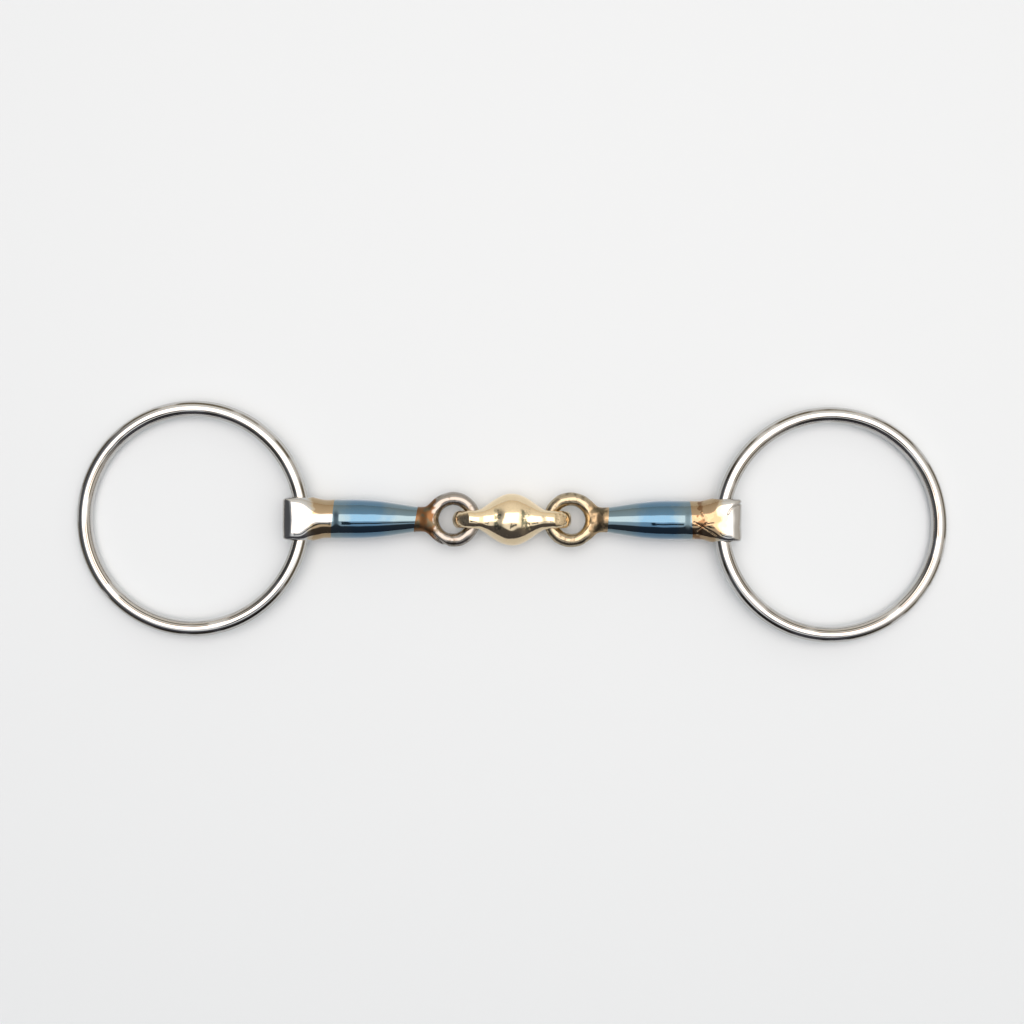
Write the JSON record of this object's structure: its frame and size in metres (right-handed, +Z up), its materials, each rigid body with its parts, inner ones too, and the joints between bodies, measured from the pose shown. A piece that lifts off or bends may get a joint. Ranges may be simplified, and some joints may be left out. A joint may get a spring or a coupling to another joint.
{
  "type": "snaffle bit",
  "caption": "Loose-ring snaffle bit with a double-jointed mouthpiece: heat-blued barrels, a brass-coloured centre lozenge and round steel rings in bored butt ends.",
  "frame": {"origin": "on the surface the bit lies on, under the middle of the centre lozenge", "axes": "+X along the mouthpiece to the right ring, +Y across it in the plane of the rings, +Z up from the surface"},
  "size_m": [0.2779, 0.0763, 0.0148],
  "materials": {
    "polished_steel": "mirror-polished stainless steel",
    "straw_steel": "polished steel with straw and bronze heat colours towards the barrel",
    "blued_steel": "polished steel, heat-blued",
    "bronzed_steel": "polished steel with brown and bronze heat colours",
    "brass": "polished brass-coloured alloy"
  },
  "bodies": {
    "lozenge": {"centre_lozenge": "brass"},
    "left_arm": {"left_butt": "straw_steel", "left_barrel": "blued_steel", "left_eye": "bronzed_steel"},
    "right_arm": {"right_butt": "straw_steel", "right_barrel": "blued_steel", "right_eye": "bronzed_steel"},
    "left_ring": {"left_ring": "polished_steel"},
    "right_ring": {"right_ring": "polished_steel"}
  },
  "joints": [
    {"name": "left_arm_fold", "type": "hinge", "parent": "lozenge", "child": "left_arm", "pos_m": [-0.0187, 0, 0.0074], "axis": [0, 0, 1], "range_deg": [-60, 60]},
    {"name": "right_arm_fold", "type": "hinge", "parent": "lozenge", "child": "right_arm", "pos_m": [0.0187, 0, 0.0074], "axis": [0, 0, 1], "range_deg": [-60, 60]},
    {"name": "left_ring_swivel", "type": "hinge", "parent": "left_arm", "child": "left_ring", "pos_m": [-0.067, 0, 0.0074], "axis": [0, 1, 0], "range_deg": [-100, 100]},
    {"name": "right_ring_swivel", "type": "hinge", "parent": "right_arm", "child": "right_ring", "pos_m": [0.067, 0, 0.0074], "axis": [0, -1, 0], "range_deg": [-100, 100]}
  ]
}
